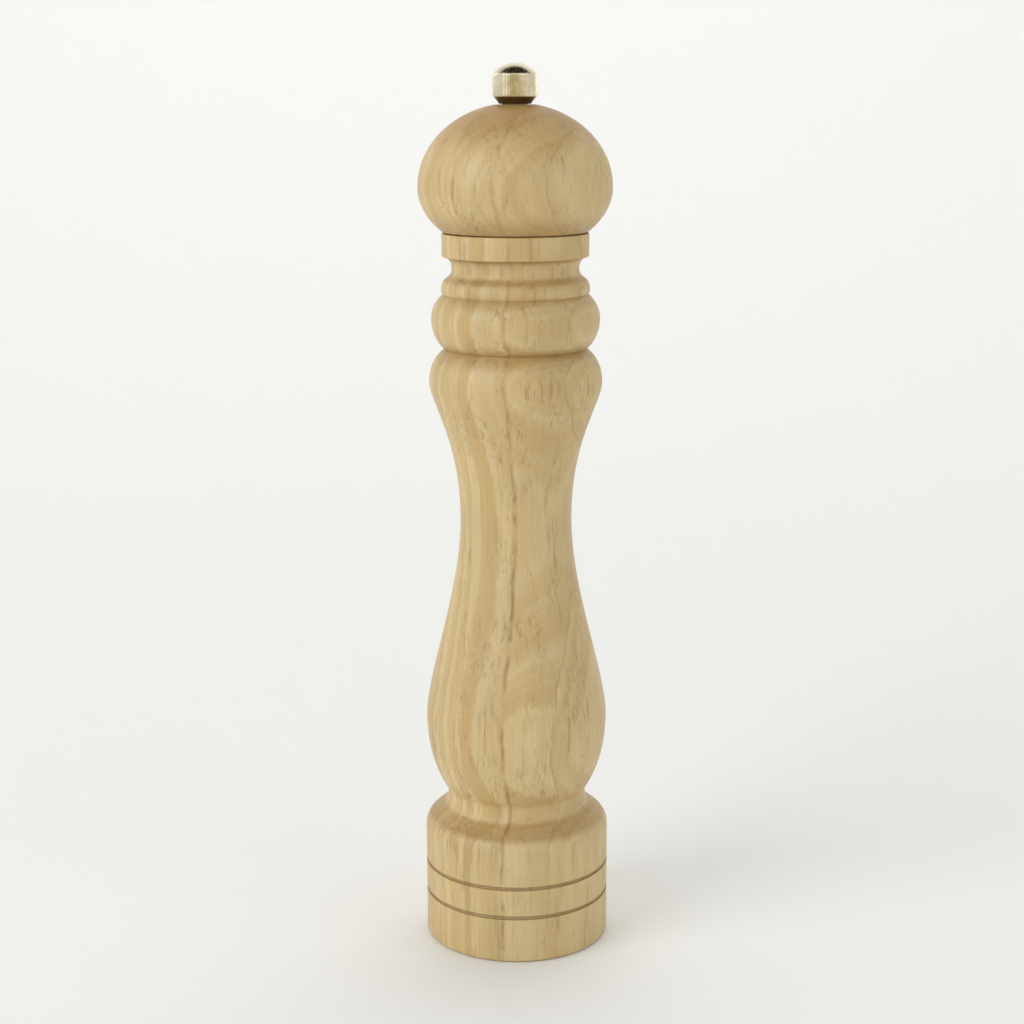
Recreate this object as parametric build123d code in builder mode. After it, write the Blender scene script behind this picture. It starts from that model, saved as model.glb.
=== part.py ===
from build123d import *

import os
from math import cos, hypot, pi, sqrt

# Pepper mill: a turned wooden body and head on a square steel shaft, with a screwed-in grinder.
# Millimetres, +Z up. The origin is the centre of the foot, on the surface that the mill stands on.

os.makedirs("parts", exist_ok=True)

# Overall sizes
overall_height = 300.0
base_radius = 31.8  # the plain drum at the bottom
bulb_radius = 31.1  # the fullest point of the lower body
waist_radius = 18.9
swell_radius = 29.05  # the fullest point of the upper body
bead_radius = 28.2
collar_radius = 24.5  # the mouth of the body, where the head sits
head_radius = 32.15

# Body: heights of its turned stretches, foot to mouth. The long waist takes what they leave.
drum_height = 39.2
foot_edge = 1.5
groove_heights = (16.4, 26.9)
groove_width = 1.8
groove_depth = 0.8
shoulder_edge = 6.0
shoulder_height = 9.1
neck_radius = 23.9
neck_height = 4.6
neck_fillet = 1.8  # where the neck meets the shoulder
bulb_rise = 26.5
swell_rise = 46.6
crease_rise = 11.1
crease_radius = 23.7
bead_rise = 10.2
bead_fall = 7.9
step_radius = 24.8
step_rise = 1.7
cove_fall = 6.8
cove_radius = 21.2
cove_rise = 3.9
collar_height = 7.8
turned_edge = 0.5  # small rounds left by sandpaper
shoulder_turn = 52.0  # degrees of the shoulder's edge, before its straight slope

# Body: the pull of its curves at their ends, as a share of each stretch or as millimetres out and up
neck_leave = (1.2, 2.1)
bulb_pull = 0.62
taper_pull = 0.21
waist_pull = 0.376
waist_rise_pull = 0.58
swell_pull = 0.15
crease_pull = 0.64
crease_arrive = (-1.3, 1.0)
crease_leave = (1.6, 1.0)
bead_pull = 0.55
bead_fall_pull = 0.5
bead_arrive = (-1.5, 0.8)
cove_pull = 0.65
cove_arrive_pull = 0.53
cove_leave_pull = 0.55
collar_arrive = (1.8, 0.2)

# Head and the seam below it
head_drop = 14.9  # fullest point above the body's mouth
head_leave = (1.0, 1.0)
head_pull = 0.57
lip_turn = 45.0
dome_rise = 27.1
knob_seat_cut = 0.6  # the flat for the knob, below the top of the dome
seam_gap = 0.35
seam_depth = 2.2
tenon_length = 12.0
tenon_gap = 0.8  # loose enough to lift off by hand
tenon_chamfer = 1.0

# Bores in the wood
chamber_radius = 13.5
mouth_chamfer = 0.8
foot_depth = 7.0  # the grinder's flange stands this far above the table

# Shaft: a square bar with a turned and threaded top
shaft_width = 6.0
shaft_corner = 0.6
shaft_below_clip = 1.0
thread_radius = 2.5
thread_length = 33.0
thread_end_gap = 1.6  # free bore above the shaft's end, more than the shaft rises
thread_chamfer = 0.6
thread_bore_sink = 1.0  # the knob's blind bore reaches this far into its dome
bar_end_gap = 2.0  # free bore above the square part, more than the shaft rises

# Knob
knob_radius = 7.3
knob_height = 13.3
knob_foot_radius = 5.2
knob_cone = 2.6
knob_dome = 3.8
knob_edge = 0.4
knob_insert_wall = 1.5
knob_insert_sink = 1.4  # above the washer's recess
washer_radius = 4.3
washer_thickness = 0.8
washer_proud = 0.2

# Running and fitting clearances
slide_gap = 0.1  # each side of the square bar
turn_gap = 0.08  # radial, round parts that turn in each other
seat_gap = 0.1  # radial, fixed round parts in their seats
screw_gap = 0.05
play = 0.1  # axial

# Grinder, from the middle outwards
bush_wall = 1.2
bush_flange = 2.6
bush_flange_thickness = 1.4
bush_above_bridge = 1.2
core_wall = 1.9
core_flange = 0.9
core_flange_thickness = 1.4
rotor_wall = 1.4
rotor_spread = 3.2  # top rim to the start of the fine teeth
fine_slope = 0.225  # the fine cone widens this much for each millimetre down
burr_gap = 0.4  # rotor to stator at rest
stator_wall = 4.7
entry_spread = 2.3
housing_wall = 2.1
housing_ledge = 1.7
flange_width = 6.4
flange_thickness = 2.0
flange_edge = 0.5
hub_rim = 3.0
arm_width = 4.0
arm_count = 3
arm_angle = 30.0

# Grinder, heights
rotor_height = 13.0
rotor_sink = 0.8  # rotor's foot above the flange's lower face
fine_height = 6.2
retainer_thickness = 1.4
retainer_sink = 0.2
retainer_lip = 0.8  # clear of the stator's lower mouth
ledge_thickness = 1.4
feed_height = 6.9  # open cup between the stator's ledge and the bridge
bridge_thickness = 1.2
fine_count = 36
fine_depth = 0.55
vane_count = 6
vane_width = 3.4
vane_slant = 28.0
vane_offset = 0.9
entry_count = 12
entry_depth = 0.9

# Spring, washers and clip on the shaft
wire_radius = 0.45
spring_turns = 4
spring_space = 1.3  # bar's corner to the inside of the coil
spring_washer_thickness = 0.6
rotor_washer_thickness = 0.8
rotor_washer_wall = 2.5
clip_thickness = 0.6
clip_groove = 0.7
clip_depth = 0.8
clip_width = 2.6
clip_mouth = 3.2

# Screws and drive plate
grinder_screw_radius = 1.5
grinder_screw_length = 12.0
grinder_screw_head = 2.9
grinder_screw_head_height = 1.7
grinder_screw_count = 3
grinder_screw_angle = 90.0
pilot_extra = 1.0
plate_thickness = 1.5
plate_gap = 0.8  # plate's rim inside the tenon's
plate_screw_radius = 1.25
plate_screw_length = 9.0
plate_screw_head = 2.2
plate_screw_head_height = 1.3
plate_screw_count = 2
screw_tip = 1.8
cut_past = 1.0  # cutters run this far past what they cut

# Worked out: heights of the wooden parts
knob_seat_z = overall_height - knob_height
dome_top_z = knob_seat_z + knob_seat_cut
head_wide_z = dome_top_z - dome_rise
mouth_z = head_wide_z - head_drop
shoulder_z = drum_height + shoulder_height
neck_z = shoulder_z + neck_height
bulb_z = neck_z + bulb_rise
collar_z = mouth_z - collar_height
cove_z = collar_z - cove_rise
step_z = cove_z - cove_fall
bead_step_z = step_z - step_rise
bead_z = bead_step_z - bead_fall
crease_z = bead_z - bead_rise
swell_z = crease_z - crease_rise
waist_z = swell_z - swell_rise
tenon_z = mouth_z - tenon_length

# Worked out: radii from the bar outwards
bar_reach = hypot(shaft_width / 2, shaft_width / 2 - shaft_corner)
socket_width = shaft_width + 2 * slide_gap
socket_reach = socket_width / sqrt(2)
bush_radius = socket_reach + bush_wall
bush_flange_radius = bush_radius + bush_flange
hub_hole_radius = bush_radius + turn_gap
hub_radius = hub_hole_radius + hub_rim
hexagon_corner = 1 / cos(pi / 6)
core_radius = (socket_reach + core_wall) * hexagon_corner
core_flange_radius = core_radius + core_flange
rotor_hole_radius = core_radius + screw_gap
rotor_top_radius = core_radius + rotor_wall
rotor_throat_radius = rotor_top_radius + rotor_spread
rotor_foot_radius = rotor_throat_radius + fine_slope * fine_height
stator_throat_radius = rotor_throat_radius + burr_gap
stator_radius = stator_throat_radius + stator_wall
housing_bore_radius = stator_radius + seat_gap
housing_radius = housing_bore_radius + housing_wall
housing_throat_radius = housing_bore_radius - housing_ledge
flange_radius = housing_radius + flange_width
grinder_bore_radius = housing_radius + seat_gap
foot_bore_radius = flange_radius + seat_gap
grinder_screw_circle = (housing_radius + flange_radius) / 2
tenon_radius = chamber_radius - tenon_gap
head_bore_radius = bar_reach + tenon_gap + seat_gap
stud_bore_radius = thread_radius + tenon_gap
plate_radius = tenon_radius - plate_gap
plate_screw_circle = (tenon_radius + head_bore_radius) / 2

# Worked out: heights of the grinder
flange_top_z = foot_depth + flange_thickness
rotor_foot_z = foot_depth + rotor_sink
rotor_throat_z = rotor_foot_z + fine_height
rotor_top_z = rotor_foot_z + rotor_height
core_top_z = rotor_top_z + core_flange_thickness
retainer_z = foot_depth + retainer_sink
stator_foot_z = retainer_z + retainer_thickness
ledge_z = stator_foot_z + rotor_height
bridge_z = ledge_z + ledge_thickness + feed_height
grinder_top_z = bridge_z + bridge_thickness
stator_foot_radius = stator_throat_radius + fine_slope * (rotor_throat_z - stator_foot_z)
stator_top_radius = stator_throat_radius + entry_spread
bush_flange_z = bridge_z - play - bush_flange_thickness
bush_top_z = grinder_top_z + bush_above_bridge
spring_foot_z = core_top_z + spring_washer_thickness
rotor_washer_z = rotor_foot_z - rotor_washer_thickness
clip_groove_z = rotor_washer_z - clip_groove
shaft_foot_z = clip_groove_z - shaft_below_clip

# Worked out: knob and shaft top
round_pull = 0.5523  # a quarter ellipse as one curve
dome_radius = (knob_radius**2 + knob_dome**2) / (2 * knob_dome)
knob_z = knob_seat_z + washer_proud
thread_bore_top_z = overall_height - knob_dome + thread_bore_sink
thread_top_z = thread_bore_top_z - thread_end_gap
bar_top_z = thread_top_z - thread_length
bar_bore_top_z = bar_top_z + bar_end_gap
thread_bore_radius = thread_radius + turn_gap
knob_insert_radius = thread_radius + knob_insert_wall
knob_insert_z = knob_z + washer_thickness - washer_proud + knob_insert_sink
plate_z = tenon_z - plate_thickness


def finish(builder, name):
    """Labels a finished piece and writes it."""
    builder.part.label = name
    export_step(builder.part, f"parts/{name}.step")


def curve(start, leave, end, arrive):
    """A turned curve between two points, with the pull of its tangent at each end."""
    after = (start[0] + leave[0], start[1] + leave[1])
    before = (end[0] - arrive[0], end[1] - arrive[1])
    return Bezier(start, after, before, end)


def cone_cutter(radius, low, high, slope, depth, inward):
    """A V-shaped bar along a cone's surface and past its ends, with its point inward or outward."""
    line = Vector(slope, 0, 1).normalized()
    start = Vector(radius, 0, low) - cut_past * line
    half = 2 * depth
    with BuildPart() as cutter:
        with BuildSketch(Plane(origin=start, x_dir=(0, 1, 0), z_dir=line)):
            Polygon((-half, -inward * depth), (half, -inward * depth), (0, inward * depth), align=None)
        extrude(amount=(high - low) / line.Z + 2 * cut_past)
    return cutter.part


def pan_screw(seat, head, head_height, shank, length):
    """A pan-head wood screw on Z, driven upwards against the seat."""
    edge = seat - head_height / 2
    foot = seat - head_height
    tip = seat + length - screw_tip
    with BuildPart() as screw:
        with BuildSketch(Plane.XZ):
            with BuildLine():
                Polyline(
                    (0, foot),
                    (0, seat + length),
                    (shank, tip),
                    (shank, seat),
                    (head, seat),
                    (head, edge),
                )
                Bezier((head, edge), (head, foot), (head / 2, foot), (0, foot))
            make_face()
        revolve(axis=Axis.Z)
    return screw.part


# Body: one turned piece of wood
neck = (neck_radius, neck_z)
bulb = (bulb_radius, bulb_z)
waist = (waist_radius, waist_z)
swell = (swell_radius, swell_z)
crease = (crease_radius, crease_z)
bead = (bead_radius, bead_z)
step_foot = (step_radius - turned_edge, bead_step_z)
step = (step_radius, step_z)
cove = (cove_radius, cove_z)
collar_foot = (collar_radius - turned_edge, collar_z)
collar = (collar_radius, collar_z + turned_edge)
taper = waist_z - bulb_z
with BuildPart() as body:
    with BuildSketch(Plane.XZ):
        with BuildLine():
            Line((foot_bore_radius, 0), (base_radius - foot_edge, 0))
            CenterArc((base_radius - foot_edge, foot_edge), foot_edge, -90, 90)
            drum = Line((base_radius, foot_edge), (base_radius, drum_height))
            edge = JernArc(drum @ 1, (0, 1), shoulder_edge, shoulder_turn)
            FilletPolyline(edge @ 1, (neck_radius, shoulder_z), neck, radius=neck_fillet)
            curve(neck, neck_leave, bulb, (0, bulb_pull * bulb_rise))
            curve(bulb, (0, taper_pull * taper), waist, (0, waist_pull * taper))
            curve(waist, (0, waist_rise_pull * swell_rise), swell, (0, swell_pull * swell_rise))
            curve(swell, (0, crease_pull * crease_rise), crease, crease_arrive)
            curve(crease, crease_leave, bead, (0, bead_pull * bead_rise))
            curve(bead, (0, bead_fall_pull * bead_fall), step_foot, bead_arrive)
            curve(step_foot, (turned_edge, 0), step, (0, step_rise / 2))
            curve(step, (0, cove_pull * cove_fall), cove, (0, cove_arrive_pull * cove_fall))
            curve(cove, (0, cove_leave_pull * cove_rise), collar_foot, collar_arrive)
            curve(collar_foot, (turned_edge / 2, 0), collar, (0, turned_edge / 2))
            Line(collar, (collar_radius, mouth_z - turned_edge))
            CenterArc((collar_radius - turned_edge, mouth_z - turned_edge), turned_edge, 0, 90)
            Polyline(
                (collar_radius - turned_edge, mouth_z),
                (chamber_radius + mouth_chamfer, mouth_z),
                (chamber_radius, mouth_z - mouth_chamfer),
                (chamber_radius, grinder_top_z),
                (grinder_bore_radius, grinder_top_z),
                (grinder_bore_radius, flange_top_z),
                (foot_bore_radius, flange_top_z),
                (foot_bore_radius, 0),
            )
        make_face()
        with Locations(*((base_radius, height) for height in groove_heights)):
            Ellipse(groove_depth, groove_width / 2, mode=Mode.SUBTRACT)
    revolve(axis=Axis.Z)
    with BuildSketch(Plane.XY.offset(flange_top_z)):
        with PolarLocations(grinder_screw_circle, grinder_screw_count, start_angle=grinder_screw_angle):
            Circle(grinder_screw_radius + screw_gap)
    extrude(amount=grinder_screw_length - flange_thickness + pilot_extra, mode=Mode.SUBTRACT)
finish(body, "body")

# Grinder housing: moulded cup with a screwed flange
with BuildPart() as grinder_housing:
    with BuildSketch(Plane.XZ):
        with BuildLine():
            Polyline(
                (housing_bore_radius, foot_depth),
                (flange_radius - flange_edge, foot_depth),
                (flange_radius, foot_depth + flange_edge),
                (flange_radius, flange_top_z),
                (housing_radius, flange_top_z),
                (housing_radius, bridge_z),
                (housing_throat_radius, bridge_z),
                (housing_throat_radius, ledge_z),
                (housing_bore_radius, ledge_z),
                close=True,
            )
        make_face()
    revolve(axis=Axis.Z)
    with BuildSketch(Plane.XY.offset(foot_depth)):
        with PolarLocations(grinder_screw_circle, grinder_screw_count, start_angle=grinder_screw_angle):
            Circle(grinder_screw_radius + seat_gap)
    extrude(amount=flange_thickness, mode=Mode.SUBTRACT)
finish(grinder_housing, "grinder_housing")

# Grinder screws: through the flange into the wood
grinder_screw = pan_screw(
    foot_depth,
    grinder_screw_head,
    grinder_screw_head_height,
    grinder_screw_radius,
    grinder_screw_length,
)
with BuildPart() as grinder_screws:
    with PolarLocations(grinder_screw_circle, grinder_screw_count, start_angle=grinder_screw_angle):
        add(grinder_screw)
finish(grinder_screws, "grinder_screws")

# Bridge: stamped steel spider clamped between the housing and the wood
with BuildPart() as bridge:
    with BuildSketch(Plane.XY.offset(bridge_z)):
        Circle(housing_radius - seat_gap)
        Circle(housing_throat_radius + seat_gap, mode=Mode.SUBTRACT)
        Circle(hub_radius)
        arm_middle = (hub_hole_radius + housing_radius) / 2
        with PolarLocations(arm_middle, arm_count, start_angle=arm_angle):
            Rectangle(housing_radius - hub_hole_radius - hub_rim, arm_width)
        Circle(hub_hole_radius, mode=Mode.SUBTRACT)
    extrude(amount=bridge_thickness)
finish(bridge, "bridge")

# Stator: fixed toothed ring
stator_cut = cone_cutter(stator_foot_radius, stator_foot_z, rotor_throat_z, -fine_slope, fine_depth, -1)
entry_slope = entry_spread / (ledge_z - rotor_throat_z)
entry_cut = cone_cutter(stator_throat_radius, rotor_throat_z, ledge_z, entry_slope, entry_depth, -1)
with BuildPart() as stator:
    with BuildSketch(Plane.XZ):
        with BuildLine():
            Polyline(
                (stator_foot_radius, stator_foot_z),
                (stator_radius, stator_foot_z),
                (stator_radius, ledge_z),
                (stator_top_radius, ledge_z),
                (stator_throat_radius, rotor_throat_z),
                close=True,
            )
        make_face()
    revolve(axis=Axis.Z)
    with PolarLocations(0, fine_count):
        add(stator_cut, mode=Mode.SUBTRACT)
    with PolarLocations(0, entry_count):
        add(entry_cut, mode=Mode.SUBTRACT)
finish(stator, "stator")

# Stator retainer: ring pressed in below the stator
with BuildPart() as stator_retainer:
    with BuildSketch(Plane.XY.offset(retainer_z)):
        Circle(stator_radius)
        Circle(stator_foot_radius + retainer_lip, mode=Mode.SUBTRACT)
    extrude(amount=retainer_thickness)
finish(stator_retainer, "stator_retainer")

# Rotor: toothed cone, drawn up into the stator by the shaft
rotor_cut = cone_cutter(rotor_foot_radius, rotor_foot_z, rotor_throat_z, -fine_slope, fine_depth, 1)
with BuildPart() as vane_cutter:
    with BuildSketch(Plane.XY):
        Circle(vane_width / 2)
    extrude(amount=2 * rotor_height, both=True)
with BuildPart() as rotor:
    with BuildSketch(Plane.XZ):
        with BuildLine():
            Polyline(
                (0, rotor_foot_z),
                (rotor_foot_radius, rotor_foot_z),
                (rotor_throat_radius, rotor_throat_z),
                (rotor_top_radius, rotor_top_z),
                (0, rotor_top_z),
                close=True,
            )
        make_face()
    revolve(axis=Axis.Z)
    with PolarLocations(0, fine_count):
        add(rotor_cut, mode=Mode.SUBTRACT)
    with PolarLocations(rotor_throat_radius + vane_offset, vane_count):
        with Locations(Location((0, 0, rotor_top_z), (vane_slant, 0, 0))):
            add(vane_cutter.part, mode=Mode.SUBTRACT)
    with BuildSketch(Plane.XY.offset(rotor_foot_z)):
        RegularPolygon(rotor_hole_radius, 6)
    extrude(amount=rotor_height, mode=Mode.SUBTRACT)
finish(rotor, "rotor")

# Rotor core: moulded hexagon that keys the rotor to the bar
with BuildPart() as rotor_core:
    with BuildSketch(Plane.XY.offset(rotor_foot_z)):
        RegularPolygon(core_radius, 6)
    extrude(amount=rotor_height)
    with BuildSketch(Plane.XY.offset(rotor_top_z)):
        Circle(core_flange_radius)
    extrude(amount=core_flange_thickness)
    with BuildSketch(Plane.XY.offset(rotor_foot_z)):
        Rectangle(socket_width, socket_width)
    extrude(amount=rotor_height + core_flange_thickness, mode=Mode.SUBTRACT)
finish(rotor_core, "rotor_core")

# Rotor washer: steel, under the rotor
with BuildPart() as rotor_washer:
    with BuildSketch(Plane.XY.offset(rotor_washer_z)):
        Circle(bar_reach + rotor_washer_wall)
        Circle(bar_reach + seat_gap, mode=Mode.SUBTRACT)
    extrude(amount=rotor_washer_thickness)
finish(rotor_washer, "rotor_washer")

# Rotor clip: spring clip pushed into the bar's groove from +X
groove_radius = shaft_width / 2 - clip_depth
with BuildPart() as rotor_clip:
    with BuildSketch(Plane.XY.offset(rotor_washer_z - clip_thickness)):
        Circle(groove_radius + clip_width)
        Circle(groove_radius, mode=Mode.SUBTRACT)
        with Locations((groove_radius + clip_width, 0)):
            Rectangle(2 * (groove_radius + clip_width), clip_mouth, mode=Mode.SUBTRACT)
    extrude(amount=clip_thickness)
finish(rotor_clip, "rotor_clip")

# Shaft: square bar, grooved for the clip, turned down and threaded at the top
with BuildPart() as shaft:
    with BuildSketch(Plane.XY.offset(shaft_foot_z)):
        square = Rectangle(shaft_width, shaft_width)
        chamfer(square.vertices(), shaft_corner)
    extrude(amount=bar_top_z - shaft_foot_z)
    with BuildSketch(Plane.XY.offset(clip_groove_z)):
        Circle(shaft_width)
        Circle(groove_radius, mode=Mode.SUBTRACT)
    extrude(amount=clip_groove, mode=Mode.SUBTRACT)
    with BuildSketch(Plane.XY.offset(bar_top_z)):
        Circle(thread_radius)
    extrude(amount=thread_length)
    chamfer(shaft.faces().sort_by(Axis.Z)[-1].edges(), thread_chamfer)
finish(shaft, "shaft")

# Spring washer: steel seat for the spring on the rotor core
with BuildPart() as spring_washer:
    with BuildSketch(Plane.XY.offset(core_top_z)):
        Circle(core_flange_radius)
        Circle(bar_reach + seat_gap, mode=Mode.SUBTRACT)
    extrude(amount=spring_washer_thickness)
finish(spring_washer, "spring_washer")

# Spring: pushes the rotor down, away from the stator
coil_radius = bar_reach + spring_space + wire_radius
coil_foot_z = spring_foot_z + wire_radius
coil_height = bush_flange_z - spring_foot_z - 2 * wire_radius
with BuildPart() as spring:
    with BuildLine() as coil:
        Helix(coil_height / spring_turns, coil_height, coil_radius, center=(0, 0, coil_foot_z))
    with BuildSketch(Plane(origin=coil.line @ 0, z_dir=coil.line % 0)):
        Circle(wire_radius)
    sweep(is_frenet=True)
finish(spring, "spring")

# Shaft bush: nylon, turns in the bridge with the bar
with BuildPart() as shaft_bush:
    with BuildSketch(Plane.XY.offset(bush_flange_z)):
        Circle(bush_flange_radius)
    extrude(amount=bush_flange_thickness)
    with BuildSketch(Plane.XY.offset(bush_flange_z)):
        Circle(bush_radius)
    extrude(amount=bush_top_z - bush_flange_z)
    with BuildSketch(Plane.XY.offset(bush_flange_z)):
        Rectangle(socket_width, socket_width)
    extrude(amount=bush_top_z - bush_flange_z, mode=Mode.SUBTRACT)
finish(shaft_bush, "shaft_bush")

# Head: turned wood with a tenon, bored for the bar and the thread
rim_radius = collar_radius - turned_edge
lip_z = mouth_z + seam_gap
head_wide = (head_radius, head_wide_z)
dome_top = (0, dome_top_z)
with BuildPart() as head:
    with BuildSketch(Plane.XZ):
        with BuildLine():
            Polyline(
                (head_bore_radius, tenon_z),
                (tenon_radius - tenon_chamfer, tenon_z),
                (tenon_radius, tenon_z + tenon_chamfer),
                (tenon_radius, mouth_z),
                (collar_radius - seam_depth, mouth_z),
                (collar_radius - seam_depth, lip_z),
                (rim_radius, lip_z),
            )
            lip = JernArc((rim_radius, lip_z), (1, 0), turned_edge, lip_turn)
            curve(tuple(lip @ 1)[:2], head_leave, head_wide, (0, head_pull * head_drop))
            curve(head_wide, (0, round_pull * dome_rise), dome_top, (-round_pull * head_radius, 0))
            Polyline(
                dome_top,
                (0, bar_bore_top_z),
                (head_bore_radius, bar_bore_top_z),
                (head_bore_radius, tenon_z),
            )
        make_face()
        with Locations((0, knob_seat_z)):
            Rectangle(head_radius, dome_rise, align=(Align.MIN, Align.MIN), mode=Mode.SUBTRACT)
    revolve(axis=Axis.Z)
    with BuildSketch(Plane.XY.offset(bar_bore_top_z)):
        Circle(stud_bore_radius)
    extrude(amount=knob_seat_z - bar_bore_top_z, mode=Mode.SUBTRACT)
    with BuildSketch(Plane.XY.offset(tenon_z)):
        with PolarLocations(plate_screw_circle, plate_screw_count):
            Circle(plate_screw_radius + screw_gap)
    extrude(amount=plate_screw_length - plate_thickness + pilot_extra, mode=Mode.SUBTRACT)
finish(head, "head")

# Drive plate: steel disc whose square hole turns the bar
with BuildPart() as drive_plate:
    with BuildSketch(Plane.XY.offset(plate_z)):
        Circle(plate_radius)
        Rectangle(socket_width, socket_width, mode=Mode.SUBTRACT)
        with PolarLocations(plate_screw_circle, plate_screw_count):
            Circle(plate_screw_radius + seat_gap, mode=Mode.SUBTRACT)
    extrude(amount=plate_thickness)
finish(drive_plate, "drive_plate")

# Drive plate screws
plate_screw = pan_screw(
    plate_z,
    plate_screw_head,
    plate_screw_head_height,
    plate_screw_radius,
    plate_screw_length,
)
with BuildPart() as drive_plate_screws:
    with PolarLocations(plate_screw_circle, plate_screw_count):
        add(plate_screw)
finish(drive_plate_screws, "drive_plate_screws")

# Knob washer: nylon, held in the knob's recess and standing a little proud of it
with BuildPart() as knob_washer:
    with BuildSketch(Plane.XY.offset(knob_seat_z)):
        Circle(washer_radius)
        Circle(thread_bore_radius + seat_gap, mode=Mode.SUBTRACT)
    extrude(amount=washer_thickness)
finish(knob_washer, "knob_washer")

# Knob insert: threaded brass sleeve pressed into the knob
with BuildPart() as knob_insert:
    with BuildSketch(Plane.XY.offset(knob_insert_z)):
        Circle(knob_insert_radius)
        Circle(thread_bore_radius, mode=Mode.SUBTRACT)
    extrude(amount=thread_bore_top_z - knob_insert_z)
finish(knob_insert, "knob_insert")

# Knob: plated, with a cone below the grip and a domed top
with BuildPart() as knob:
    with BuildSketch(Plane.XZ):
        with BuildLine():
            dome_z = overall_height - knob_dome
            Polyline(
                (0, knob_z),
                (knob_foot_radius, knob_z),
                (knob_radius, knob_z + knob_cone),
                (knob_radius, dome_z),
            )
            RadiusArc((knob_radius, dome_z), (0, overall_height), -dome_radius)
            Line((0, overall_height), (0, knob_z))
        make_face()
    revolve(axis=Axis.Z)
    rims = knob.edges().filter_by(GeomType.CIRCLE)
    grip_rims = rims.filter_by(lambda rim: rim.radius > knob_foot_radius)
    fillet(grip_rims, knob_edge)
    with BuildSketch(Plane.XY.offset(knob_z)):
        Circle(washer_radius + seat_gap)
    extrude(amount=washer_thickness - washer_proud, mode=Mode.SUBTRACT)
    with BuildSketch(Plane.XY.offset(knob_z)):
        Circle(stud_bore_radius)
    extrude(amount=knob_insert_z - knob_z, mode=Mode.SUBTRACT)
    with BuildSketch(Plane.XY.offset(knob_insert_z)):
        Circle(knob_insert_radius)
    extrude(amount=thread_bore_top_z - knob_insert_z, mode=Mode.SUBTRACT)
finish(knob, "knob")
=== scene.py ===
import math

import bpy
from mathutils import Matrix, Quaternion, Vector
from mathutils.geometry import interpolate_bezier


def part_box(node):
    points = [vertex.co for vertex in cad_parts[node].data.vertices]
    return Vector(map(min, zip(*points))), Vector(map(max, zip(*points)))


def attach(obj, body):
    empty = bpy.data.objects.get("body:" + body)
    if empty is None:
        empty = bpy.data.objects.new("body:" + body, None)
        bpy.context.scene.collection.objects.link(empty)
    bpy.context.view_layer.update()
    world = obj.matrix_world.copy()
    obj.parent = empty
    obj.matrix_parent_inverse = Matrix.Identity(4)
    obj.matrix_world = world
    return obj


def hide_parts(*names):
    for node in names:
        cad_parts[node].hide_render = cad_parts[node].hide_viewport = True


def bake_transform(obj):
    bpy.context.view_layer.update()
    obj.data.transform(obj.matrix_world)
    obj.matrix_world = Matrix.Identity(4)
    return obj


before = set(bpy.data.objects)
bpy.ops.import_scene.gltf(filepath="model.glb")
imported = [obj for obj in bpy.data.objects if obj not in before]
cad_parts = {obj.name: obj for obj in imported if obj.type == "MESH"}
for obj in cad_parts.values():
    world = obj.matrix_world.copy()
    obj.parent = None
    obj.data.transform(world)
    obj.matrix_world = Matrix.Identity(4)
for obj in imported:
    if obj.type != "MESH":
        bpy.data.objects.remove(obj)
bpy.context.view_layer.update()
mm = 0.001
tau = 2 * math.pi
noiseSpan = (0.3, 0.7)  # nearly all of a noise lies between these
cornerPull = 0.55  # of the run to a corner, which makes a curve close to a circle
nearest = 0.02  # at least this far apart, in mm, are two points of an outline
ridgeFlank = (0.06, 0.42)  # a ridge's flank, in shares of its pitch from the crest
print("frame loaded:", len(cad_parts), "CAD nodes")


# sRGB hex to the linear colour that shaders take
def linearColour(hexText):
    shares = [int(hexText[i:i + 2], 16) / 255 for i in (1, 3, 5)]
    return [c / 12.92 if c <= 0.04045 else ((c + 0.055) / 1.055) ** 2.4 for c in shares] + [1.0]


# Adds one node with its settings. An input takes a value, a socket, or a node for its first output
def addNode(tree, kind, inputs=(), **settings):
    node = tree.nodes.new(kind)
    for key, value in settings.items():
        setattr(node, key, value)
    slots = [slot for slot in node.inputs if slot.enabled]
    named = {slot.name: slot for slot in reversed(slots)}
    for key, value in inputs.items() if isinstance(inputs, dict) else enumerate(inputs):
        slot = named[key] if isinstance(key, str) else slots[key]
        if isinstance(value, bpy.types.Node):
            value = next(output for output in value.outputs if output.enabled)
        if isinstance(value, bpy.types.NodeSocket):
            tree.links.new(value, slot)
        else:
            slot.default_value = value
    return node


def newMaterial(name):
    material = bpy.data.materials.new(name)
    material.use_nodes = True
    tree = material.node_tree
    return material, tree, tree.nodes["Principled BSDF"]


# A CAD node's lowest and highest corners, in millimetres
def nodeBox(node):
    low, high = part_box(node)
    return [c / mm for c in low], [c / mm for c in high]


# Outlines are lists of (radius, height) in millimetres. This one is a curve between two points,
# by the pull of its tangent at each end
def curvePoints(start, leave, end, arrive, steps):
    after = (start[0] + leave[0], start[1] + leave[1])
    before = (end[0] - arrive[0], end[1] - arrive[1])
    corners = [Vector((*point, 0)) for point in (start, after, before, end)]
    return [(point.x, point.y) for point in interpolate_bezier(*corners, steps + 1)]


def arcPoints(centre, radius, first, last, steps):
    angles = [math.radians(first + (last - first) * i / steps) for i in range(steps + 1)]
    return [(centre[0] + radius * math.cos(a), centre[1] + radius * math.sin(a)) for a in angles]


def linePoints(start, end, steps):
    return [tuple(Vector(start).lerp(Vector(end), i / steps)) for i in range(steps + 1)]


# Rounds a corner off, starting and ending the same distance from it
def softCorner(before, corner, after, distance, steps=6):
    ends = []
    for other in (before, after):
        way = (Vector(other) - Vector(corner)).normalized()
        ends.append(tuple(Vector(corner) + way * distance))
    leave = [(corner[i] - ends[0][i]) * cornerPull for i in (0, 1)]
    arrive = [(ends[1][i] - corner[i]) * cornerPull for i in (0, 1)]
    return curvePoints(ends[0], leave, ends[1], arrive, steps)


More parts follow.
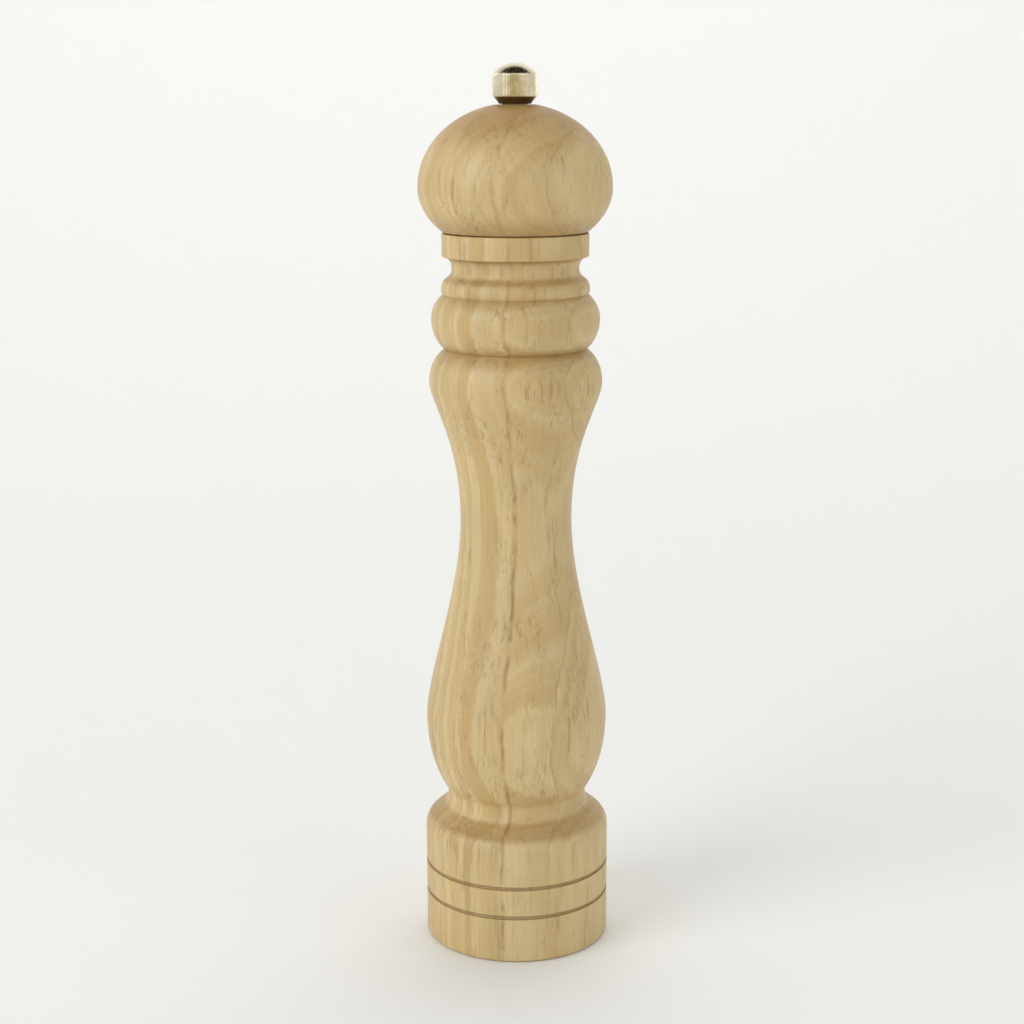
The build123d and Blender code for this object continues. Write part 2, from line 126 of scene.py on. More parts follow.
# How far a spot is from the turning axis
def axisRadius(tree, spot):
    across = addNode(tree, "ShaderNodeVectorMath", [spot, (1, 1, 0)], operation="MULTIPLY")
    return addNode(tree, "ShaderNodeVectorMath", [across], operation="LENGTH").outputs["Value"]


def newTree(name, inputs):
    tree = bpy.data.node_groups.new(name, "GeometryNodeTree")
    for label, kind in inputs.items():
        tree.interface.new_socket(name=label, in_out="INPUT", socket_type="NodeSocket" + kind)
    tree.interface.new_socket(name="Geometry", in_out="OUTPUT", socket_type="NodeSocketGeometry")
    return tree, addNode(tree, "NodeGroupInput").outputs


# Smooth faces, with the edges sharper than the crease angle left sharp
def shadeAndEnd(tree, shape, crease, material):
    bend = addNode(tree, "GeometryNodeInputMeshEdgeAngle")
    sharp = addNode(tree, "FunctionNodeCompare", [bend, crease], operation="GREATER_THAN")
    faces = addNode(tree, "GeometryNodeSetShadeSmooth", [shape, True, True], domain="FACE")
    edges = addNode(tree, "GeometryNodeSetShadeSmooth", [faces, sharp, False], domain="EDGE")
    solid = addNode(tree, "GeometryNodeRealizeInstances", [edges])
    done = addNode(tree, "GeometryNodeSetMaterial", {"Geometry": solid, "Material": material})
    addNode(tree, "NodeGroupOutput", [done])


# Turns an outline round Z. Ridges are a knurl or a thread, and a bar makes the section square
turnedInputs = {
    "Outline": "Geometry",
    "Segments": "Int",
    "Ridge Count": "Float",
    "Ridge Turns per Metre": "Float",
    "Ridge Radius": "Float",
    "Ridge Depth": "Float",
    "Ridge Low": "Float",
    "Bar Width": "Float",
    "Bar Corner": "Float",
    "Crease Angle": "Float",
    "Material": "Material",
}
turnedDefaults = {
    "Segments": 192,
    "Ridge Count": 0.0,
    "Ridge Turns per Metre": 0.0,
    "Ridge Radius": 1.0,
    "Ridge Depth": 0.0,
    "Ridge Low": 0.0,
    "Bar Width": 1.0,
    "Bar Corner": 0.0,
    "Crease Angle": math.radians(38),
}


def turnedTree():
    tree, given = newTree("turned", turnedInputs)
    size = addNode(tree, "GeometryNodeAttributeDomainSize", [given["Outline"]])
    rim = addNode(tree, "FunctionNodeIntegerMath", [given["Segments"], 1], operation="ADD")
    grid = addNode(tree, "GeometryNodeMeshGrid", {"Vertices X": size, "Vertices Y": rim})
    index = addNode(tree, "GeometryNodeInputIndex")
    row = addNode(tree, "FunctionNodeIntegerMath", [index, rim], operation="DIVIDE_FLOOR")
    column = addNode(tree, "FunctionNodeIntegerMath", [index, rim], operation="MODULO")
    point = addNode(tree, "GeometryNodeInputPosition")
    sample = addNode(
        tree, "GeometryNodeSampleIndex",
        {"Geometry": given["Outline"], "Value": point, "Index": row}, data_type="FLOAT_VECTOR",
    )
    outline = addNode(tree, "ShaderNodeSeparateXYZ", [sample]).outputs
    share = addNode(tree, "ShaderNodeMath", [column, given["Segments"]], operation="DIVIDE")
    angle = addNode(tree, "ShaderNodeMath", [share, tau], operation="MULTIPLY")
    cosine = addNode(tree, "ShaderNodeMath", [angle], operation="COSINE")
    sine = addNode(tree, "ShaderNodeMath", [angle], operation="SINE")

    # ridges: a triangle wave round the axis, which a thread also winds upwards
    around = addNode(tree, "ShaderNodeMath", [share, given["Ridge Count"]], operation="MULTIPLY")
    wound = addNode(
        tree, "ShaderNodeMath", [outline["Z"], given["Ridge Turns per Metre"]], operation="MULTIPLY"
    )
    phase = addNode(tree, "ShaderNodeMath", [around, wound], operation="SUBTRACT")
    wave = addNode(tree, "ShaderNodeMath", [phase, 0.5], operation="PINGPONG")
    valley = addNode(tree, "ShaderNodeMapRange", [wave, *ridgeFlank, 0.0, 1.0])
    cut = addNode(tree, "ShaderNodeMath", [valley, given["Ridge Depth"]], operation="MULTIPLY")
    ridge = addNode(tree, "ShaderNodeMath", [given["Ridge Radius"], cut], operation="SUBTRACT")
    below = addNode(tree, "ShaderNodeMath", [outline["Z"], given["Ridge Low"]], operation="LESS_THAN")
    limit = addNode(tree, "ShaderNodeMath", [ridge, below], operation="ADD")
    ridged = addNode(tree, "ShaderNodeMath", [outline["X"], limit], operation="MINIMUM")

    # square bar: its flats, then its chamfered corners
    half = addNode(tree, "ShaderNodeMath", [given["Bar Width"], 2.0], operation="DIVIDE")
    cosineSize = addNode(tree, "ShaderNodeMath", [cosine], operation="ABSOLUTE")
    sineSize = addNode(tree, "ShaderNodeMath", [sine], operation="ABSOLUTE")
    larger = addNode(tree, "ShaderNodeMath", [cosineSize, sineSize], operation="MAXIMUM")
    both = addNode(tree, "ShaderNodeMath", [cosineSize, sineSize], operation="ADD")
    flat = addNode(tree, "ShaderNodeMath", [half, larger], operation="DIVIDE")
    reach = addNode(tree, "ShaderNodeMath", [given["Bar Width"], given["Bar Corner"]], operation="SUBTRACT")
    corner = addNode(tree, "ShaderNodeMath", [reach, both], operation="DIVIDE")
    bar = addNode(tree, "ShaderNodeMath", [flat, corner], operation="MINIMUM")
    radius = addNode(tree, "ShaderNodeMath", [ridged, bar], operation="MINIMUM")

    x = addNode(tree, "ShaderNodeMath", [radius, cosine], operation="MULTIPLY")
    y = addNode(tree, "ShaderNodeMath", [radius, sine], operation="MULTIPLY")
    place = addNode(tree, "ShaderNodeCombineXYZ", [x, y, outline["Z"]])
    bent = addNode(tree, "GeometryNodeSetPosition", {"Geometry": grid, "Position": place})
    closed = addNode(tree, "GeometryNodeMergeByDistance", {"Geometry": bent, "Distance": 0.002 * mm})
    shadeAndEnd(tree, closed, given["Crease Angle"], given["Material"])
    return tree


# Runs a tree on an outline and keeps the result as a plain mesh
def growPiece(name, outline, tree, sizes):
    line = bpy.data.meshes.new(name)
    steps = [(i, i + 1) for i in range(len(outline) - 1)]
    line.from_pydata([(r * mm, 0, z * mm) for r, z in outline], steps, [])
    piece = bpy.data.objects.new(name, line)
    bpy.context.collection.objects.link(piece)
    modifier = piece.modifiers.new(tree.name, "NODES")
    modifier.node_group = tree
    for item in tree.interface.items_tree:
        if item.in_out == "INPUT" and item.name in sizes:
            modifier[item.identifier] = sizes[item.name]
    grown = piece.evaluated_get(bpy.context.evaluated_depsgraph_get())
    mesh = bpy.data.meshes.new_from_object(grown)
    piece.modifiers.clear()
    piece.data = mesh
    print("made", name, "with", len(mesh.polygons), "faces")
    return piece


turned = turnedTree()

# Rubberwood, glued up from slats, turned, sanded and sealed with a thin satin lacquer: pale straw
# colour, faint growth bands, fine darker streaks, short dark pores in drifts, honey end grain that also
# serves as painted shade
woodLook = {
    "slatThickness": 13.3,
    "slatTaper": 0.022,  # slats widen this much for each millimetre up
    "dark": "#c5a86f",
    "light": "#d2bb88",
    "honey": "#a57f45",
    "pore": "#7a5c33",
    "glue": "#8a6733",
    "groove": "#6b4d27",
    "slatStep": 7.3,  # how far apart the slats are taken from the noises
    "slowPerMm": (0.012, 0.012, 0.009),
    "pithDepth": (20.0, 60.0),
    "pithAside": 26.0,
    "drift": (3.0, 6.0),
    "bandPerMm": 0.19,
    "bandSpread": (0.3, 0.7),
    "ragged": 1.2,
    "cloudPerMm": (0.085, 0.085, 0.028),
    "cloudTone": (0.94, 1.05),
    "fibrePerMm": (1.0, 1.0, 0.045),
    "fibreTone": (0.93, 1.05),
    "slatTone": (0.96, 1.04),
    "streakPerMm": (0.85, 0.85, 0.06),
    "streakSpread": (0.5, 0.68),
    "streakTint": 0.46,
    "seamWidth": 0.35,
    "seamTint": 0.35,
    "seamWavePerMm": (0.03, 0.03, 0.07),
    "seamWave": 0.7,
    "stainWidth": 0.8,
    "stainTint": 0.3,
    "stainFade": (160.0, 215.0),  # it is plainest below the waist
    "breakPerMm": (0.25, 0.25, 0.14),
    "breakSpread": (0.4, 0.58),
    "breakFloor": 0.15,
    "crowdPerMm": (0.16, 0.16, 0.03),
    "crowdSpread": (0.42, 0.64),
    "crowdFloor": 0.06,
    "poreCell": (0.75, 0.75, 10.0),  # pores are 0.1 mm wide; these are drawn 0.3 mm wide to show
    "poreSize": 0.19,
    "poreTint": 0.7,
    "endGrainAndShade": (0.4, 1.0),  # how far a face looks up or down
    "roughness": (0.42, 0.56),
    "bump": 0.05,
    "coat": (0.12, 0.32),
}


def woodMaterial(name, look):
    material, tree, shader = newMaterial(name)
    coords = addNode(tree, "ShaderNodeTexCoord").outputs
    spot = addNode(tree, "ShaderNodeVectorMath", [coords["Object"], 1 / mm], operation="SCALE")
    height = addNode(tree, "ShaderNodeSeparateXYZ", [spot]).outputs["Z"]
    turn = math.radians(look["slatTurn"])
    across, along = (math.sin(turn), -math.cos(turn), 0), (math.cos(turn), math.sin(turn), 0)
    depth = addNode(tree, "ShaderNodeVectorMath", [spot, across], operation="DOT_PRODUCT").outputs["Value"]
    width = addNode(tree, "ShaderNodeVectorMath", [spot, along], operation="DOT_PRODUCT").outputs["Value"]

    # slats: which one, and how far through it, past a seam that runs a little crooked
    wavePlace = addNode(tree, "ShaderNodeVectorMath", [spot, look["seamWavePerMm"]], operation="MULTIPLY")
    wave = addNode(tree, "ShaderNodeTexNoise", {"Vector": wavePlace, "Scale": 1.0, "Detail": 3.0})
    crooked = addNode(tree, "ShaderNodeMapRange", [wave, *noiseSpan, -look["seamWave"], look["seamWave"]])
    straight = addNode(tree, "ShaderNodeMath", [depth, look["glueAt"]], operation="SUBTRACT")
    fromGlue = addNode(tree, "ShaderNodeMath", [straight, crooked], operation="ADD")
    thickness = addNode(
        tree, "ShaderNodeMath", [height, look["slatTaper"], look["slatThickness"]], operation="MULTIPLY_ADD"
    )
    count = addNode(tree, "ShaderNodeMath", [fromGlue, thickness], operation="DIVIDE")
    slat = addNode(tree, "ShaderNodeMath", [count], operation="FLOOR")
    through = addNode(tree, "ShaderNodeMath", [count], operation="FRACT")
    seed = addNode(tree, "ShaderNodeMath", [slat, look["seed"]], operation="ADD")
    drawn = addNode(tree, "ShaderNodeTexWhiteNoise", [seed], noise_dimensions="1D").outputs["Color"]
    chance = addNode(tree, "ShaderNodeSeparateColor", [drawn]).outputs

    # growth rings round each slat's own pith, which wanders as the tree did
    slow = addNode(tree, "ShaderNodeVectorMath", [spot, look["slowPerMm"]], operation="MULTIPLY")
    offset = addNode(tree, "ShaderNodeMath", [seed, look["slatStep"]], operation="MULTIPLY")
    wander = addNode(
        tree, "ShaderNodeTexNoise", {"Vector": slow, "W": offset, "Scale": 1.0, "Detail": 2.0},
        noise_dimensions="4D",
    ).outputs["Color"]
    drift = addNode(tree, "ShaderNodeSeparateColor", [wander]).outputs
    away, aside = look["drift"]
    pithDepth = addNode(tree, "ShaderNodeMapRange", [chance[0], 0.0, 1.0, *look["pithDepth"]])
    fromMiddle = addNode(tree, "ShaderNodeMath", [through, thickness], operation="MULTIPLY")
    pithAway = addNode(tree, "ShaderNodeMath", [fromMiddle, pithDepth], operation="ADD")
    driftAway = addNode(tree, "ShaderNodeMapRange", [drift[0], *noiseSpan, -away, away])
    ringX = addNode(tree, "ShaderNodeMath", [pithAway, driftAway], operation="ADD")
    pithAside = addNode(
        tree, "ShaderNodeMapRange", [chance[1], 0.0, 1.0, -look["pithAside"], look["pithAside"]]
    )
    ringAside = addNode(tree, "ShaderNodeMath", [width, pithAside], operation="ADD")
    driftAside = addNode(tree, "ShaderNodeMapRange", [drift[1], *noiseSpan, -aside, aside])
    ringY = addNode(tree, "ShaderNodeMath", [ringAside, driftAside], operation="ADD")
    ringPlace = addNode(tree, "ShaderNodeCombineXYZ", [ringX, ringY])
    ringRadius = addNode(tree, "ShaderNodeVectorMath", [ringPlace], operation="LENGTH").outputs["Value"]

    # fibres run up the slat and fray the bands a little
    fibrePlace = addNode(tree, "ShaderNodeVectorMath", [spot, look["fibrePerMm"]], operation="MULTIPLY")
    fibres = addNode(
        tree, "ShaderNodeTexNoise",
        {"Vector": fibrePlace, "W": offset, "Scale": 1.0, "Detail": 3.0, "Roughness": 0.65},
        noise_dimensions="4D",
    )
    fibreShare = addNode(tree, "ShaderNodeMapRange", [fibres, *noiseSpan, 0.0, 1.0])
    frayed = addNode(tree, "ShaderNodeMath", [fibres, look["ragged"], ringRadius], operation="MULTIPLY_ADD")
    bandPlace = addNode(tree, "ShaderNodeMath", [frayed, look["bandPerMm"]], operation="MULTIPLY")
    bandOwn = addNode(tree, "ShaderNodeMath", [bandPlace, offset], operation="ADD")
    bands = addNode(
        tree, "ShaderNodeTexNoise", {"W": bandOwn, "Scale": 1.0, "Detail": 3.0, "Roughness": 0.6},
        noise_dimensions="1D",
    )
    bandShare = addNode(
        tree, "ShaderNodeMapRange", [bands, *look["bandSpread"], 0.0, 1.0], interpolation_type="SMOOTHSTEP"
    )

    # tone: soft clouds, fibres, and each slat a little lighter or darker
    cloudPlace = addNode(tree, "ShaderNodeVectorMath", [spot, look["cloudPerMm"]], operation="MULTIPLY")
    clouds = addNode(
        tree, "ShaderNodeTexNoise", {"Vector": cloudPlace, "W": offset, "Scale": 1.0, "Detail": 2.0},
        noise_dimensions="4D",
    )
    cloudTone = addNode(tree, "ShaderNodeMapRange", [clouds, *noiseSpan, *look["cloudTone"]])
    fibreTone = addNode(tree, "ShaderNodeMapRange", [fibres, *noiseSpan, *look["fibreTone"]])
    slatTone = addNode(tree, "ShaderNodeMapRange", [chance[2], 0.0, 1.0, *look["slatTone"]])
    ownTone = addNode(tree, "ShaderNodeMath", [fibreTone, slatTone], operation="MULTIPLY")
    tone = addNode(tree, "ShaderNodeMath", [ownTone, cloudTone], operation="MULTIPLY")

    # pores and darker streaks come in the same drifts
    crowdPlace = addNode(tree, "ShaderNodeVectorMath", [spot, look["crowdPerMm"]], operation="MULTIPLY")
    crowd = addNode(tree, "ShaderNodeTexNoise", {"Vector": crowdPlace, "Scale": 1.0, "Detail": 1.0})
    crowdShare = addNode(tree, "ShaderNodeMapRange", [crowd, *look["crowdSpread"], look["crowdFloor"], 1.0])
    poreShape = [1 / c for c in look["poreCell"]]
    porePlace = addNode(tree, "ShaderNodeVectorMath", [spot, poreShape], operation="MULTIPLY")
    pores = addNode(tree, "ShaderNodeTexVoronoi", {"Vector": porePlace, "Scale": 1.0}).outputs
    poreSpot = addNode(
        tree, "ShaderNodeMapRange", [pores["Distance"], look["poreSize"] / 2, look["poreSize"], 1.0, 0.0]
    )
    poreChance = addNode(tree, "ShaderNodeSeparateColor", [pores["Color"]])
    kept = addNode(tree, "ShaderNodeMath", [poreChance, crowdShare], operation="LESS_THAN")
    pore = addNode(tree, "ShaderNodeMath", [poreSpot, kept], operation="MULTIPLY")
    streakPlace = addNode(tree, "ShaderNodeVectorMath", [spot, look["streakPerMm"]], operation="MULTIPLY")
    streaks = addNode(
        tree, "ShaderNodeTexNoise", {"Vector": streakPlace, "W": offset, "Scale": 1.0, "Detail": 2.0},
        noise_dimensions="4D",
    )
    streakShare = addNode(
        tree, "ShaderNodeMapRange", [streaks, *look["streakSpread"], 0.0, look["streakTint"]]
    )
    streak = addNode(tree, "ShaderNodeMath", [streakShare, crowdShare], operation="MULTIPLY")

    # seams: a broken hairline of glue, and one of them stained wider and darker
    seam = addNode(tree, "ShaderNodeMath", [count], operation="ROUND")
    past = addNode(tree, "ShaderNodeMath", [count, seam], operation="SUBTRACT")
    share = addNode(tree, "ShaderNodeMath", [past], operation="ABSOLUTE")
    beside = addNode(tree, "ShaderNodeMath", [share, thickness], operation="MULTIPLY")
    stained = addNode(tree, "ShaderNodeMath", [seam, 0.0, 0.1], operation="COMPARE")
    reach = addNode(
        tree, "ShaderNodeMath", [stained, look["stainWidth"], look["seamWidth"]], operation="MULTIPLY_ADD"
    )
    line = addNode(
        tree, "ShaderNodeMapRange", [beside, 0.0, reach, 1.0, 0.0], interpolation_type="SMOOTHSTEP"
    )
    stainTint = addNode(tree, "ShaderNodeMapRange", [height, *look["stainFade"], look["stainTint"], 0.0])
    depthOfTint = addNode(
        tree, "ShaderNodeMath", [stained, stainTint, look["seamTint"]], operation="MULTIPLY_ADD"
    )
    breakPlace = addNode(tree, "ShaderNodeVectorMath", [spot, look["breakPerMm"]], operation="MULTIPLY")
    breaks = addNode(tree, "ShaderNodeTexNoise", {"Vector": breakPlace, "Scale": 1.0, "Detail": 3.0})
    broken = addNode(tree, "ShaderNodeMapRange", [breaks, *look["breakSpread"], look["breakFloor"], 1.0])
    lineTint = addNode(tree, "ShaderNodeMath", [line, depthOfTint], operation="MULTIPLY")
    glue = addNode(tree, "ShaderNodeMath", [lineTint, broken], operation="MULTIPLY")

    # end grain drinks the lacquer and goes honey brown, and the same darkening of faces that look up or down
    # is also painted shade, pushed further on the head's top
    facing = addNode(tree, "ShaderNodeSeparateXYZ", [coords["Normal"]]).outputs["Z"]
    upward = addNode(tree, "ShaderNodeMath", [facing], operation="ABSOLUTE")
    endGrainAndShade = addNode(
        tree, "ShaderNodeMapRange", [upward, *look["endGrainAndShade"], 0.0, look["honeyAndShadeShare"]],
        interpolation_type="SMOOTHSTEP",
    )

    tints = {key: linearColour(look[key]) for key in ("dark", "light", "honey", "pore", "glue", "groove")}
    grain = addNode(tree, "ShaderNodeMix", [bandShare, tints["dark"], tints["light"]], data_type="RGBA")
    warmed = addNode(tree, "ShaderNodeMix", [endGrainAndShade, grain, tints["honey"]], data_type="RGBA")
    toned = addNode(tree, "ShaderNodeHueSaturation", {"Value": tone, "Color": warmed})
    streaked = addNode(tree, "ShaderNodeMix", [streak, toned, tints["glue"]], data_type="RGBA")
    glued = addNode(tree, "ShaderNodeMix", [glue, streaked, tints["glue"]], data_type="RGBA")
    poreTint = addNode(tree, "ShaderNodeMath", [pore, look["poreTint"]], operation="MULTIPLY")
    colour = addNode(tree, "ShaderNodeMix", [poreTint, glued, tints["pore"]], data_type="RGBA")

    # a groove is burnished dark at its bottom
    if "grooves" in look:
        radius = axisRadius(tree, spot)
        face, sink = look["grooveFace"], look["grooveDepth"]
        sunk = addNode(
            tree, "ShaderNodeMapRange", [radius, face - sink / 3, face - sink, 0.0, look["grooveTint"]]
        )
        outside = addNode(tree, "ShaderNodeMath", [radius, face - 2 * sink], operation="GREATER_THAN")
        dark = addNode(tree, "ShaderNodeMath", [sunk, outside], operation="MULTIPLY")
        for at in look["grooves"]:
            atGroove = addNode(
                tree, "ShaderNodeMath", [height, at, look["grooveWidth"]], operation="COMPARE"
            )
            shade = addNode(tree, "ShaderNodeMath", [dark, atGroove], operation="MULTIPLY")
            colour = addNode(tree, "ShaderNodeMix", [shade, colour, tints["groove"]], data_type="RGBA")
    tree.links.new(colour.outputs[2], shader.inputs["Base Color"])

    rough = addNode(tree, "ShaderNodeMapRange", [fibreShare, 0.0, 1.0, *look["roughness"]])
    tree.links.new(rough.outputs[0], shader.inputs["Roughness"])
    raised = addNode(tree, "ShaderNodeMath", [fibreShare, pore], operation="SUBTRACT")
    bump = addNode(
        tree, "ShaderNodeBump", {"Strength": 0.6, "Distance": look["bump"] * mm, "Height": raised}
    )
    tree.links.new(bump.outputs[0], shader.inputs["Normal"])
    shader.inputs["Coat Weight"].default_value = look["coat"][0]
    shader.inputs["Coat Roughness"].default_value = look["coat"][1]
    return material


bodyHigh = nodeBox("body")[1]
housingHigh = nodeBox("grinder_housing")[1]
bridgeHigh = nodeBox("bridge")[1]
bodyShape = {
    "base": bodyHigh[0],
    "mouth": bodyHigh[2],
    "footEdge": 1.5,
    "drum": 39.2,
    "grooves": (16.4, 26.9),
    "grooveWidth": 1.4,
    "grooveDepth": 0.8,
    "shoulderEdge": 6.0,
    "shoulderTurn": 52,
    "shoulder": 48.3,
    "neck": (23.9, 52.9),
    "neckFoot": 2.2,  # how far its rounded corner reaches along each side
    "neckSoft": 0.9,
    "bulb": (31.1, 79.4),
    "waist": (18.9, 149.3),
    "swell": (29.05, 195.9),
    "crease": (23.7, 207.0),
    "bead": (28.2, 217.2),
    "stepFoot": (24.3, 225.1),
    "step": (24.8, 226.8),
    "cove": (21.2, 233.6),
    "collarFoot": (24.0, 237.5),
    "collar": 24.5,
    "edge": 0.5,
    "bulbCurve": ((1.2, 2.1), (0, 16.43), 24),  # the pull at each end, and its steps
    "curves": (
        ("bulb", (0, 14.68), "waist", (0, 26.28), 32),
        ("waist", (0, 27.03), "swell", (0, 6.99), 28),
        ("swell", (0, 7.1), "crease", (-1.3, 1.0), 12),
        ("crease", (1.6, 1.0), "bead", (0, 5.61), 12),
        ("bead", (0, 3.95), "stepFoot", (-1.1, 0.9), 12),
        ("stepFoot", (0.3, 0.3), "step", (0, 0.7), 8),
        ("step", (0, 4.42), "cove", (0, 3.6), 12),
        ("cove", (0, 2.15), "collarFoot", (1.8, 0.2), 10),
    ),
    "chamber": 13.5,
    "mouthChamfer": 0.8,
    "grinderTop": bridgeHigh[2],
    "grinderBore": 19.256,
    "flangeTop": 9.0,
    "footBore": housingHigh[0] + 0.1,
}
bodyWood = woodLook | {
    "slatTurn": 70,
    "glueAt": 6.0,
    "seed": 12,
    "honeyAndShadeShare": 0.7,
    "grooves": bodyShape["grooves"],
    "grooveFace": bodyShape["base"],
    "grooveWidth": bodyShape["grooveWidth"],
    "grooveDepth": bodyShape["grooveDepth"],
    "grooveTint": 0.5,
}


def bodyOutline(shape):
    base, edge, mouth, collar = (shape[key] for key in ("base", "edge", "mouth", "collar"))
    foot, shoulder = shape["footEdge"], shape["shoulderEdge"]
    points = [(shape["footBore"], 0)]
    points += arcPoints((base - foot, foot), foot, -90, 0, 8)
    for at in shape["grooves"]:
        for i in range(13):
            turn = math.pi * i / 12
            sink = shape["grooveDepth"] * math.sin(turn)
            points.append((base - sink, at - shape["grooveWidth"] / 2 * math.cos(turn)))
    points += arcPoints((base - shoulder, shape["drum"]), shoulder, 0, shape["shoulderTurn"], 14)
    neck, neckFoot = shape["neck"], (shape["neck"][0], shape["shoulder"])
    points += softCorner(points[-1], neckFoot, neck, shape["neckFoot"])
    leave, arrive, steps = shape["bulbCurve"]
    bulbStart = curvePoints(neck, leave, shape["bulb"], arrive, steps)
    points += softCorner(neckFoot, neck, bulbStart[1], shape["neckSoft"]) + bulbStart[2:]
    for start, leave, end, arrive, steps in shape["curves"]:
        points += curvePoints(shape[start], leave, shape[end], arrive, steps)[1:]
    points += arcPoints((collar - edge, shape["collarFoot"][1] + edge), edge, -90, 0, 5)
    points += arcPoints((collar - edge, mouth - edge), edge, 0, 90, 5)
    points += [
        (shape["chamber"] + shape["mouthChamfer"], mouth),
        (shape["chamber"], mouth - shape["mouthChamfer"]),
        (shape["chamber"], shape["grinderTop"]),
        (shape["grinderBore"], shape["grinderTop"]),
        (shape["grinderBore"], shape["flangeTop"]),
        (shape["footBore"], shape["flangeTop"]),
        (shape["footBore"], 0),
    ]
    return points[::-1]


bodyMaterial = woodMaterial("lacqueredRubberwoodBody", bodyWood)
bodyPiece = growPiece(
    "turned_body", bodyOutline(bodyShape), turned, turnedDefaults | {"Material": bodyMaterial}
)
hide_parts("body")
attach(bodyPiece, "base")

headLow, headHigh = nodeBox("head")
headShape = {
    "wide": headHigh[0],
    "tenonFoot": headLow[2],
    "seat": headHigh[2],
    "tenon": 12.7,
    "tenonChamfer": 1.0,
    "seamDepth": 2.2,
    "seamGap": 0.35,
    "lipTurn": 45,
    "widest": 260.2,
    "lipCurve": ((1.0, 1.0), (0, 8.49), 24),  # the pull at each end, and its steps
    "domeTop": 287.3,
    "barBore": 4.742,
    "barBoreTop": 264.6,
    "studBore": 3.3,
}
headWood = woodLook | {
    "slatThickness": 14.5,
    "slatTaper": 0.0,
    "slatTurn": 62,
    "glueAt": 8.6,
    "seed": 41,
    # darker than on the body: real end grain, and painted shade on the head's top round the knob
    "honeyAndShadeShare": 0.85,
    "seamTint": 0.28,
    "stainTint": 0.0,
}


def headOutline(shape, body):
    mouth, rim = body["mouth"], body["collar"] - body["edge"]
    lip, wide = mouth + shape["seamGap"], (shape["wide"], shape["widest"])
    points = [
        (shape["barBore"], shape["tenonFoot"]),
        (shape["tenon"] - shape["tenonChamfer"], shape["tenonFoot"]),
        (shape["tenon"], shape["tenonFoot"] + shape["tenonChamfer"]),
        (shape["tenon"], mouth),
        (body["collar"] - shape["seamDepth"], mouth),
        (body["collar"] - shape["seamDepth"], lip),
    ]
    edge = arcPoints((rim, lip + body["edge"]), body["edge"], -90, shape["lipTurn"] - 90, 5)
    leave, arrive, steps = shape["lipCurve"]
    points += edge + curvePoints(edge[-1], leave, wide, arrive, steps)[1:]
    dome = arcPoints((0, 0), 1, 0, 90, 64)
    dome = [(shape["wide"] * r, shape["widest"] + (shape["domeTop"] - shape["widest"]) * z) for r, z in dome]
    below = [point for point in dome if point[1] < shape["seat"] - nearest]
    rise = (shape["seat"] - shape["widest"]) / (shape["domeTop"] - shape["widest"])
    points += below[1:]
    points += [
        (shape["wide"] * math.sqrt(1 - rise ** 2), shape["seat"]),
        (shape["studBore"], shape["seat"]),
        (shape["studBore"], shape["barBoreTop"]),
        (shape["barBore"], shape["barBoreTop"]),
        (shape["barBore"], shape["tenonFoot"]),
    ]
    return points[::-1]


headMaterial = woodMaterial("lacqueredRubberwoodHead", headWood)
headPiece = growPiece(
    "turned_head", headOutline(headShape, bodyShape), turned, turnedDefaults | {"Material": headMaterial}
)
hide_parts("head")
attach(headPiece, "head")

# One recipe for bare and plated metal: a grain that follows how it was worked, and faint stains
def metalMaterial(name, look):
    material, tree, shader = newMaterial(name)
    place = addNode(tree, "ShaderNodeTexCoord").outputs["Object"]
    spot = addNode(tree, "ShaderNodeVectorMath", [place, 1 / mm], operation="SCALE")
    if look.get("turned"):  # tool lines run round the axis
        radius = axisRadius(tree, spot)
        height = addNode(tree, "ShaderNodeSeparateXYZ", [spot]).outputs["Z"]
        spot = addNode(tree, "ShaderNodeCombineXYZ", [radius, 0.0, height])
    grainPlace = addNode(tree, "ShaderNodeVectorMath", [spot, look["grainPerMm"]], operation="MULTIPLY")
    grain = addNode(tree, "ShaderNodeTexNoise", {"Vector": grainPlace, "Scale": 1.0, "Detail": 3.0})
    stainPlace = addNode(tree, "ShaderNodeVectorMath", [place, look["stainPerMm"] / mm], operation="SCALE")
    stains = addNode(tree, "ShaderNodeTexNoise", {"Vector": stainPlace, "Scale": 1.0, "Detail": 2.0})
    stainShare = addNode(tree, "ShaderNodeMapRange", [stains, 0.35, 0.7, 0.0, 1.0])
    clean, stained = linearColour(look["colour"]), linearColour(look["stain"])
    colour = addNode(tree, "ShaderNodeMix", [stainShare, clean, stained], data_type="RGBA")
    if "under" in look:  # painted shade: faces that look down are painted dark brown, standing in for the shaded wood they reflect
        normal = addNode(tree, "ShaderNodeTexCoord").outputs["Normal"]
        facing = addNode(tree, "ShaderNodeSeparateXYZ", [normal]).outputs["Z"]
        shaded = addNode(tree, "ShaderNodeMapRange", [facing, -0.25, -0.5, 0.0, 0.9])
        under = linearColour(look["under"])
        colour = addNode(tree, "ShaderNodeMix", [shaded, colour.outputs[2], under], data_type="RGBA")
    rough = addNode(tree, "ShaderNodeMapRange", [grain, *noiseSpan, *look["roughness"]])
    bump = addNode(
        tree, "ShaderNodeBump", {"Strength": 0.5, "Distance": look["bump"] * mm, "Height": grain}
    )
    tree.links.new(colour.outputs[2], shader.inputs["Base Color"])
    tree.links.new(rough.outputs[0], shader.inputs["Roughness"])
    tree.links.new(bump.outputs[0], shader.inputs["Normal"])
    shader.inputs["Metallic"].default_value = 1.0
    return material


